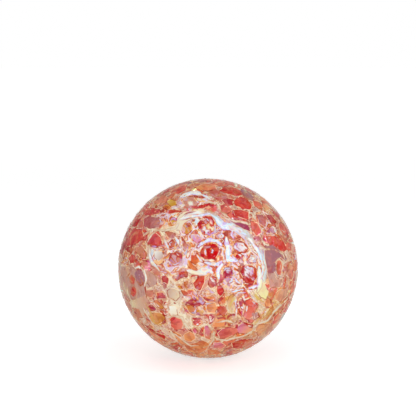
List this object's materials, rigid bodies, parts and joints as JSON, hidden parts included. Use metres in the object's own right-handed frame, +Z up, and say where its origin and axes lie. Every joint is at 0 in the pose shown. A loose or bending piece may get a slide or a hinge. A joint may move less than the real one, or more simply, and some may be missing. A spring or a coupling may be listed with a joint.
{
  "type": "glass marble with fused chips",
  "caption": "Round handmade-style glass marble: a mauve base glass covered with coral, red, orange, amber, rose and clear glass chips under an iridescent lustre.",
  "frame": {"origin": "centre of the ball", "axes": "+Z up through the chip opposite the resting chip, -Y towards the viewer of the show face, +X to that viewer's right"},
  "size_m": [0.0349, 0.035, 0.0349],
  "materials": {
    "base_glass": "gloss",
    "coral_glass": "gloss",
    "red_glass": "gloss",
    "orange_glass": "gloss",
    "amber_glass": "gloss",
    "rose_glass": "gloss",
    "clear_glass": "gloss",
    "grit_glass": "gloss"
  },
  "bodies": {
    "root": {"base_gob": "base_glass", "resting_chip": "coral_glass", "coral_chips": "coral_glass", "red_chips": "red_glass", "orange_chips": "orange_glass", "amber_chips": "amber_glass", "rose_chips": "rose_glass", "clear_chips": "clear_glass", "fine_grit": "grit_glass"}
  },
  "joints": []
}
